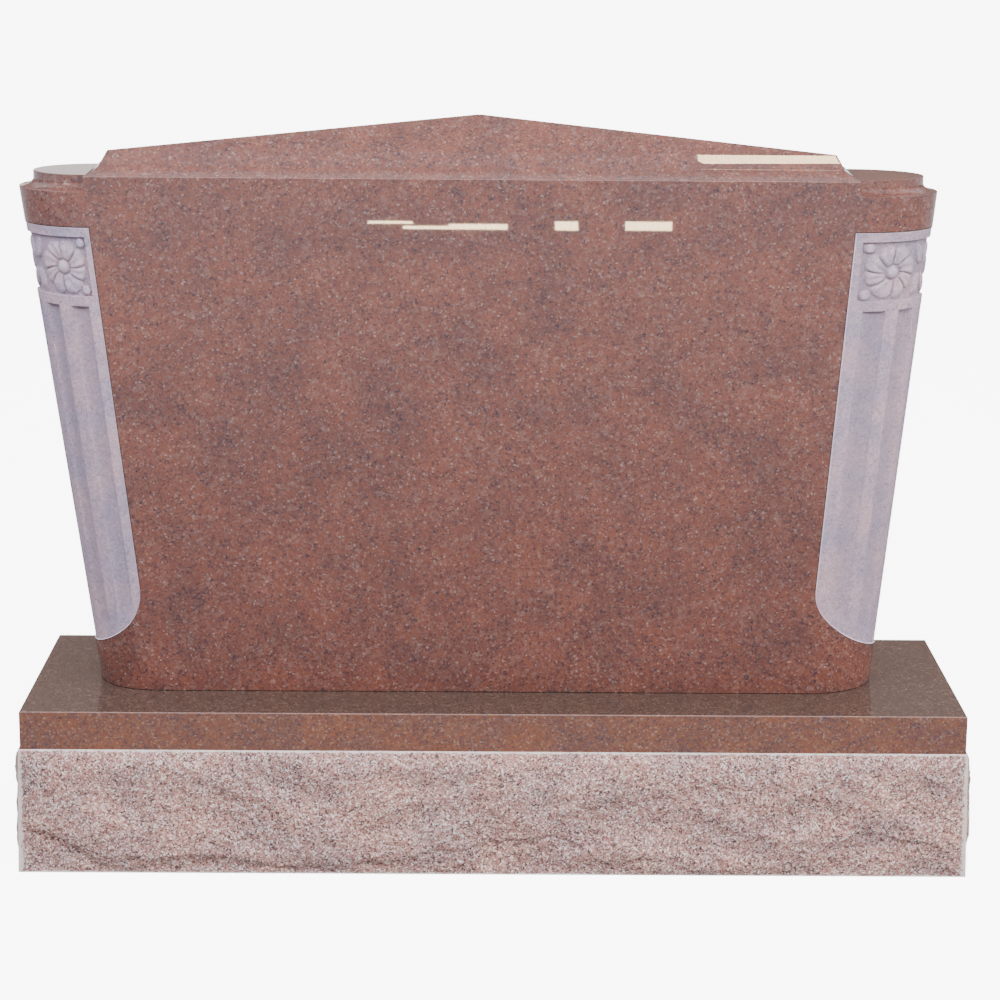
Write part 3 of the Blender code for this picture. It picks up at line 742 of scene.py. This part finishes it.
for side in (1, -1):
    end = end_surface(side, round_angles, round_z, round_inset)
    end[:, [0, -1], 0] -= side * DARK_LINE
    ends.append(end if side == 1 else end[:, ::-1])
wall = np.concatenate(ends, axis=1)
rows, columns = wall.shape[:2]
end_columns = columns // 2
wall_faces = grid_faces(rows, columns, True)

# Which cells are the carving, its rims with a painted highlight and the painted shadow lines round
# it. The outer columns of an end are the face's edge line, and the next ones the carving's rim.
cell_row = np.repeat(np.arange(rows - 1), columns)
cell_column = np.tile(np.arange(columns) % end_columns, rows - 1)
on_face_line = (cell_column == 0) | (cell_column == end_columns - 2)
on_rim_column = (cell_column == 2) | (cell_column == end_columns - 4)
on_end = (cell_column >= 1) & (cell_column <= end_columns - 3)
arc_row = start["arc"]
head_row = start["column head"]
carved = on_end & (cell_row >= arc_row) & (cell_row < head_row)
rim = carved & (on_rim_column | (cell_row == arc_row) | (cell_row == head_row - 1))
column_rows = (cell_row >= arc_row - 1) & (cell_row <= head_row)
above_or_below = on_end & ((cell_row == arc_row - 1) | (cell_row == head_row))
dark = ~carved & column_rows & (on_face_line | above_or_below)
# Painted shade on the panel's floor and painted highlight on the carving's tops.
panel_height = panel_relief_here / ROSETTE_HEIGHT
panel_shade = FLOOR_SHADE * (1.0 - panel_height) - RELIEF_TOP_HIGHLIGHT * panel_height
# Painted shade in the flutes and on the panel, averaged for each face.
hollow = np.zeros(round_inset.shape)
hollow[start["shaft"]:start["flute head"], 2:-2] = shaft_hollow / FLUTE_DEPTH
hollow[start["panel"]:start["panel head"], 2:-2] = np.where(inside_margin, panel_shade, 0.0)
hollow = np.concatenate([hollow, hollow[:, ::-1]], axis=1).ravel()[wall_faces].mean(axis=1)
# Painted highlight on the arris at the top of the face.
face_arris = (cell_row > start["face arris"]) & ((cell_column == end_columns - 1) | on_face_line)
wall_slots = carved.astype(int)
wall_painted_light = RIM_HIGHLIGHT * rim + ARRIS_HIGHLIGHT_SHARE * face_arris - dark - HOLLOW_SHADE * hollow * (carved & ~rim)

CARVED_COARSE = ((0.0, (156, 142, 156)), (0.3, (174, 156, 171)), (0.6, (182, 161, 177)),
                 (0.85, (190, 168, 176)))
CARVED_FINE = ((0.0, (118, 108, 118)), (0.12, (166, 148, 162)), (0.6, (184, 164, 180)),
               (0.87, (206, 188, 198)))
# Colours of the painted shade in the carving's hollows and of the painted highlight on its rims and tops.
HOLLOW_SHADOW = (116, 112, 130)
CARVED_RIM_HIGHLIGHT = (226, 222, 240)
carved_granite = granite("carved granite", CARVED_COARSE, CARVED_FINE,
                         sizes=(0.0046, 0.0020), fine_share=0.5,
                         tints=((0.78, 0.85, 0.96), (1.14, 1.04, 1.00)),
                         roughness=0.8, bump_height=0.0008, rim=CARVED_RIM_HIGHLIGHT, line=HOLLOW_SHADOW)


# Headstone: the gable
# The moulded top is cut from the same block: a cove, a leaning band and a low hipped cap. The
# cap falls to the back, so only its front slope shows from the front.
GABLE_COVE_RUN = 0.0205
GABLE_COVE_RISE = 0.0145
BAND_RUN = 0.009
BAND_RISE = 0.016
APEX_RISE = 0.0435
TOP_FALL = 0.0125
BAND_SHARES = (0.5, 0.94, 0.985)
CAP_SHARES = (0.998, 0.985, 0.8, 0.5, 0.2, 0.05, 0.006)


def gable_ring(front, back, corner):
    """One level of the gable, anticlockwise, from its front and back corners (x, y, z).

    Each corner is a quarter circle. Points between the corners lie on straight edges, at the
    places where the face's edge lines and the shoulders' walls meet the lowest level.
    """
    turn = np.radians(ARRIS_TURNS)
    front = np.array(front)
    back = np.array(back)
    front_arc = front + corner * np.stack([np.sin(turn) - 1, 1 - np.cos(turn), 0 * turn], axis=-1)
    back_arc = back + corner * np.stack([np.cos(turn) - 1, np.sin(turn) - 1, 0 * turn], axis=-1)
    share = TIER_SETBACK / (THICKNESS - 2 * ARRIS)
    walls = [front + (back - front) * share, back + (front - back) * share]
    inwards = np.array([DARK_LINE + corner, 0.0, 0.0])
    right = np.vstack([front - inwards, front_arc, walls, back_arc, back - inwards])
    left = right[::-1] * (-1.0, 1.0, 1.0)
    return np.vstack([right, left]) + (-SET_LEFT - LEAN_LEFT - FACE_LEFT, 0.0, STONE_FOOT)


def gable_corners(setback, z, back_setback, back_z):
    """Front and back corners of a level that is set back from the flat face and its ends."""
    half_length = half_length_at(FACE_HEIGHT)
    front = (half_length - setback, setback - THICKNESS / 2, z)
    back = (half_length - back_setback, THICKNESS / 2 - back_setback, back_z)
    return front, back


start_x = half_length_at(LEDGE_HEIGHT)
start_y = THICKNESS / 2 - ARRIS
gable_rings = [gable_ring((start_x, -start_y, FACE_HEIGHT), (start_x, start_y, FACE_HEIGHT), 0.0)]
for turn in cove_turn[:, 0]:
    setback = GABLE_COVE_RUN * math.sin(turn)
    z = FACE_HEIGHT + GABLE_COVE_RISE * (math.sin(turn) + 1.0 - math.cos(turn)) / 2
    gable_rings.append(gable_ring(*gable_corners(setback, z, setback, z), ARRIS))
back_share = 1.0 - TOP_FALL / BAND_RISE
band_foot = FACE_HEIGHT + GABLE_COVE_RISE


def band_ring(front_up):
    """Level of the leaning band at a share of its rise; its back rises less than its front."""
    back_up = front_up * back_share
    corners = gable_corners(GABLE_COVE_RUN + BAND_RUN * front_up, band_foot + BAND_RISE * front_up,
                            GABLE_COVE_RUN + BAND_RUN * back_up, band_foot + BAND_RISE * back_up)
    return gable_ring(*corners, ARRIS)


for share in BAND_SHARES:
    gable_rings.append(band_ring(share))
cap_ring = band_ring(1.0)
apex = np.array([-SET_LEFT - LEAN_LEFT, 0.0, STONE_FOOT + band_foot + BAND_RISE + APEX_RISE])
for share in CAP_SHARES:
    gable_rings.append(apex + share * (cap_ring - apex))
gable = np.array(gable_rings)
gable_faces = grid_faces(len(gable), gable.shape[1], True) + rows * columns

stone_points = np.vstack([wall.reshape(-1, 3), gable.reshape(-1, 3)])
top_row = (rows - 1) * columns
tier_right = range(top_row + 2, top_row + end_columns - 2)
tier_left = range(top_row + end_columns + 2, top_row + columns - 2)
underside = range(columns - 1, -1, -1)
cap = range(len(stone_points) - gable.shape[1], len(stone_points))
flat_faces = (tier_right, tier_left, underside, cap)
plain_faces = len(gable_faces) + len(flat_faces)
stone_piece = build_mesh("headstone_block", stone_points, np.vstack([wall_faces, gable_faces]), flat_faces,
                         (polished_granite, carved_granite),
                         np.concatenate([wall_slots, np.zeros(plain_faces, int)]),
                         np.concatenate([wall_painted_light, np.zeros(plain_faces)]), np.zeros(len(stone_points)))
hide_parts("headstone")
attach(stone_piece, "root")


# Floor and studio
# A plain pale floor that glows, under a soft sky that is brighter overhead. The stones don't see
# the floor. They see the ground only as the sky's lower half, set so that their polished faces
# mirror about as much light as in the photograph.
FLOOR_HALF = 60.0
FLOOR_PALE = 0.90
FLOOR_ROUGHNESS = 0.95
FLOOR_SHEEN = 0.1
FLOOR_GLOW = 7.0
SKY_PEAK = 2.4
SKY_STOPS = ((0.0, (0.4, 0.4, 0.4)), (0.355, (0.3, 0.3, 0.3)), (0.44, (1.3, 1.3, 1.4)),
             (0.495, (1.5, 1.5, 1.6)), (0.505, (0.3, 0.25, 0.22)), (0.65, (0.40, 0.30, 0.27)),
             (0.86, (2.2, 2.1, 2.2)), (1.0, (1.0, 1.0, 1.0)))

floor_mesh = bpy.data.meshes.new("floor")
floor_mesh.from_pydata([(-FLOOR_HALF, -FLOOR_HALF, 0.0), (FLOOR_HALF, -FLOOR_HALF, 0.0),
                        (FLOOR_HALF, FLOOR_HALF, 0.0), (-FLOOR_HALF, FLOOR_HALF, 0.0)], [], [(0, 1, 2, 3)])
floor = bpy.data.objects.new("floor", floor_mesh)
bpy.context.scene.collection.objects.link(floor)
floor_material = bpy.data.materials.new("pale floor")
floor_material.use_nodes = True
floor_shader = floor_material.node_tree.nodes["Principled BSDF"]
floor_shader.inputs["Base Color"].default_value = (FLOOR_PALE, FLOOR_PALE, FLOOR_PALE, 1.0)
floor_shader.inputs["Roughness"].default_value = FLOOR_ROUGHNESS
floor_shader.inputs["Specular IOR Level"].default_value = FLOOR_SHEEN
floor_shader.inputs["Emission Color"].default_value = (1.0, 1.0, 1.0, 1.0)
floor_shader.inputs["Emission Strength"].default_value = FLOOR_GLOW
floor_mesh.materials.append(floor_material)
floor.visible_diffuse = False
floor.visible_glossy = False

world = bpy.data.worlds.new("studio")
world.use_nodes = True
sky = world.node_tree
direction = sky.nodes.new("ShaderNodeTexCoord")
upward = sky.nodes.new("ShaderNodeSeparateXYZ")
sky.links.new(direction.outputs["Generated"], upward.inputs["Vector"])
brightness = sky.nodes.new("ShaderNodeValToRGB")
for position, strength in SKY_STOPS[1:-1]:
    brightness.color_ramp.elements.new(position)
for element, (position, strength) in zip(brightness.color_ramp.elements, SKY_STOPS):
    element.position = position
    element.color = (*(value / SKY_PEAK for value in strength), 1.0)
sky.links.new(stretched(sky, upward.outputs["Z"], -1.0, 1.0, 0.0, 1.0), brightness.inputs["Fac"])
sky.links.new(brightness.outputs["Color"], sky.nodes["Background"].inputs["Color"])
sky.nodes["Background"].inputs["Strength"].default_value = SKY_PEAK
bpy.context.scene.world = world


def soft_light(name, place, aim, size, power, mirrored, colour=(1.0, 1.0, 1.0)):
    """A rectangular soft light facing a point; the camera sees it only mirrored, or not at all."""
    data = bpy.data.lights.new(name, "AREA")
    data.shape = "RECTANGLE"
    data.size = size[0]
    data.size_y = size[1]
    data.energy = power
    data.color = colour
    light = bpy.data.objects.new(name, data)
    light.location = place
    facing = Vector(aim) - Vector(place)
    light.rotation_euler = facing.to_track_quat("-Z", "Y").to_euler()
    light.visible_camera = False
    light.visible_glossy = mirrored
    bpy.context.scene.collection.objects.link(light)


COOL = (0.85, 1.0, 1.3)
soft_light("key light", place=(0.35, -1.65, 2.0), aim=(0.0, 0.0, 0.5), size=(2.4, 0.8), power=47.0,
           mirrored=False)
soft_light("right light", place=(3.0, -1.2, 1.8), aim=(0.4, 0.0, 0.5), size=(1.6, 1.6), power=70.0,
           mirrored=False)
soft_light("left light", place=(-1.2, -0.7, 1.7), aim=(-0.5, 0.0, 0.8), size=(0.7, 0.7), power=9.0,
           mirrored=False, colour=COOL)
soft_light("left window", place=(-2.2, -1.6, 2.6), aim=(-0.5, 0.0, 0.8), size=(0.5, 0.5), power=16.0,
           mirrored=True)
soft_light("back light", place=(0.0, 3.0, 2.6), aim=(0.0, 0.0, 0.4), size=(2.6, 1.2), power=15.0,
           mirrored=False)
soft_light("back card", place=(-1.9, 6.0, 1.55), aim=(0.0, 0.0, 0.8), size=(2.6, 0.6), power=6.0,
           mirrored=True)

# The bright windows that the face and the band mirror in the photograph, each given by its
# place across and up, its width and its height. The first three stand for one long wedge.
WARM = (1.0, 0.74, 0.44)
WINDOW_GLOW = 240.0
WINDOW_PLACE = -5.5
WINDOW_AIM = 0.8
WINDOWS = ((-0.310, 0.105, 0.144, 0.0084), (-0.196, 0.089, 0.147, 0.0098),
           (-0.028, 0.0925, 0.189, 0.0170), (0.256, 0.097, 0.074, 0.028),
           (0.520, 0.098, 0.150, 0.028))
for x, z, width, height in WINDOWS:
    soft_light("window", place=(x, WINDOW_PLACE, z), aim=(x, 0.0, WINDOW_AIM), size=(width, height),
               power=WINDOW_GLOW * width * height, mirrored=True, colour=WARM)
soft_light("high window", place=(0.755, -2.5, 4.08), aim=(0.35, 0.0, 0.9), size=(0.38, 0.20), power=15.0,
           mirrored=True, colour=WARM)
